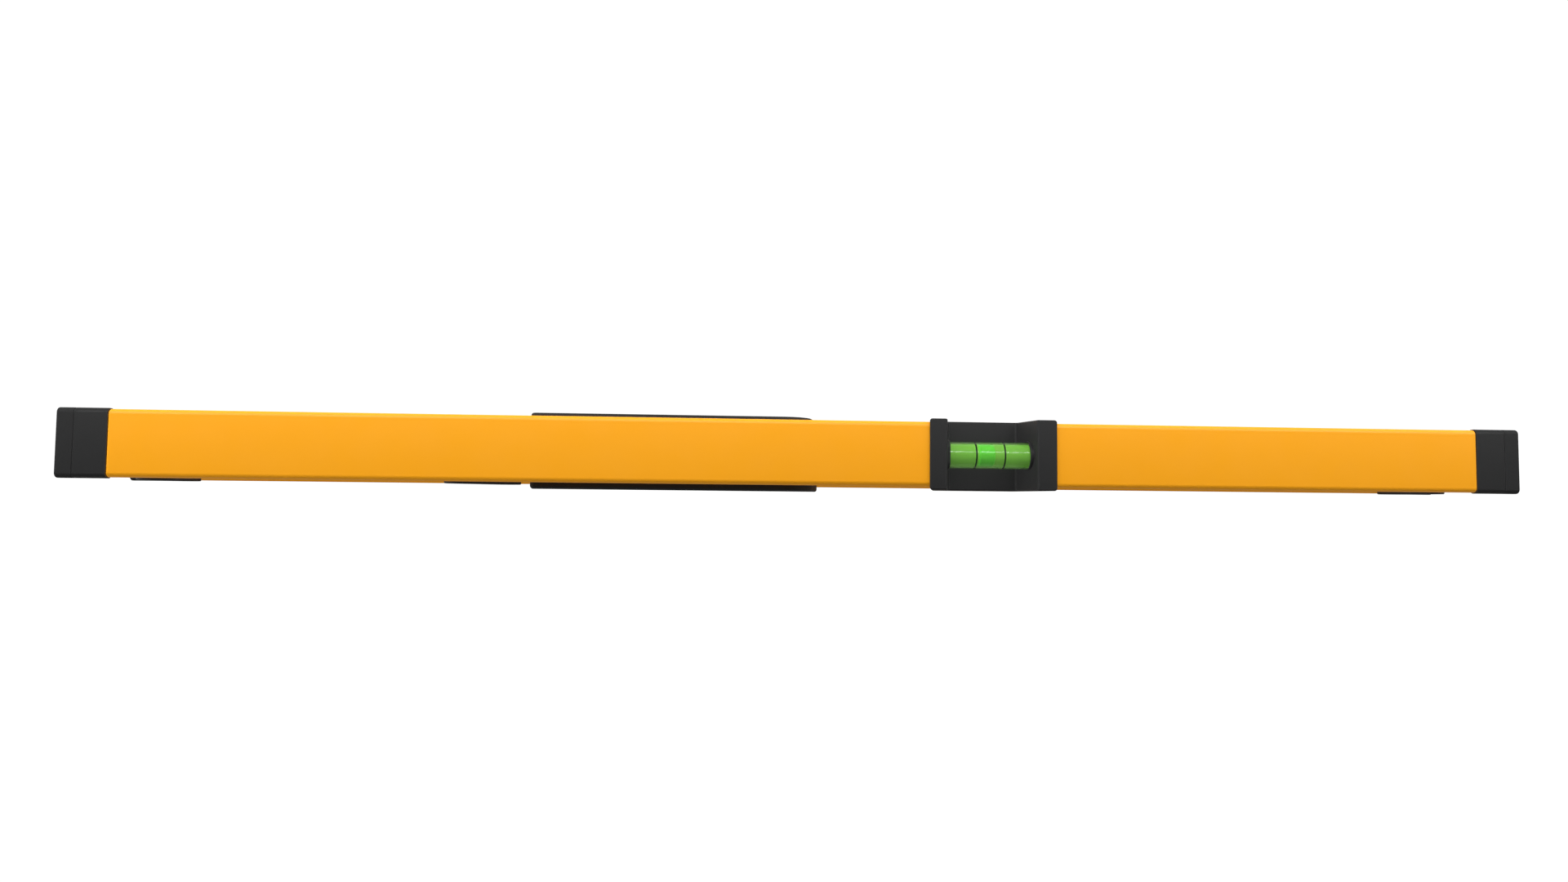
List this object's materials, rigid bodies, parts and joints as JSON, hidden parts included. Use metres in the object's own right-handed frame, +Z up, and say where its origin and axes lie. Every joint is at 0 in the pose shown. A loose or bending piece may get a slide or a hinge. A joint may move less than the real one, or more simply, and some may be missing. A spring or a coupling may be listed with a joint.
{
  "type": "spirit level",
  "caption": "Box-section spirit level with a top-reading vial, a plumb vial at each end, a 45 degree vial, rubber side grips and shock-absorbing end caps.",
  "frame": {"origin": "middle of the base, on the surface that the level stands on", "axes": "+X along the level towards the end nearer the top vial, +Y to the back, +Z up"},
  "size_m": [0.6, 0.0314, 0.061],
  "materials": {
    "yellow_paint": "satin powder coat",
    "black_plastic": "fine matt",
    "black_rubber": "matt",
    "clear_acrylic": "clear moulded acrylic",
    "green_liquid": "clear fluorescent green",
    "air_bubble": "clear",
    "black_ring": "gloss"
  },
  "bodies": {
    "level": {"beam": "yellow_paint", "left_end_cap": "black_plastic", "left_end_pad": "black_rubber", "right_end_cap": "black_plastic", "right_end_pad": "black_rubber", "back_grip": "black_rubber", "front_grip": "black_rubber", "top_vial_housing": "black_plastic", "top_vial_retainer": "black_plastic", "top_vial_barrel": "clear_acrylic", "top_vial_plug": "clear_acrylic", "top_vial_liquid": "green_liquid", "top_vial_first_ring": "black_ring", "top_vial_second_ring": "black_ring", "left_plumb_vial_barrel": "clear_acrylic", "left_plumb_vial_plug": "clear_acrylic", "left_plumb_vial_liquid": "green_liquid", "left_plumb_vial_first_ring": "black_ring", "left_plumb_vial_second_ring": "black_ring", "left_plumb_vial_back_holder": "black_plastic", "left_plumb_vial_front_holder": "black_plastic", "right_plumb_vial_barrel": "clear_acrylic", "right_plumb_vial_plug": "clear_acrylic", "right_plumb_vial_liquid": "green_liquid", "right_plumb_vial_first_ring": "black_ring", "right_plumb_vial_second_ring": "black_ring", "right_plumb_vial_back_holder": "black_plastic", "right_plumb_vial_front_holder": "black_plastic", "angle_vial_barrel": "clear_acrylic", "angle_vial_plug": "clear_acrylic", "angle_vial_liquid": "green_liquid", "angle_vial_first_ring": "black_ring", "angle_vial_second_ring": "black_ring", "angle_vial_back_holder": "black_plastic", "angle_vial_front_holder": "black_plastic"},
    "top_vial_bubble": {"top_vial_bubble": "air_bubble"},
    "left_plumb_vial_bubble": {"left_plumb_vial_bubble": "air_bubble"},
    "right_plumb_vial_bubble": {"right_plumb_vial_bubble": "air_bubble"},
    "angle_vial_bubble": {"angle_vial_bubble": "air_bubble"}
  },
  "joints": [
    {"name": "top_vial_bubble_slide", "type": "slide", "parent": "level", "child": "top_vial_bubble", "axis": [1, 0, 0], "range_m": [-0.01185, 0.01415], "stiffness_N_per_m": 0.5},
    {"name": "left_plumb_vial_bubble_slide", "type": "slide", "parent": "level", "child": "left_plumb_vial_bubble", "axis": [0, 0, 1], "range_m": [-0.0162, 0], "stiffness_N_per_m": 0.5, "springref_m": 0.01},
    {"name": "right_plumb_vial_bubble_slide", "type": "slide", "parent": "level", "child": "right_plumb_vial_bubble", "axis": [0, 0, 1], "range_m": [-0.0162, 0], "stiffness_N_per_m": 0.5, "springref_m": 0.01},
    {"name": "angle_vial_bubble_slide", "type": "slide", "parent": "level", "child": "angle_vial_bubble", "axis": [-0.7071, 0, 0.7071], "range_m": [-0.0162, 0], "stiffness_N_per_m": 0.5, "springref_m": 0.01}
  ]
}
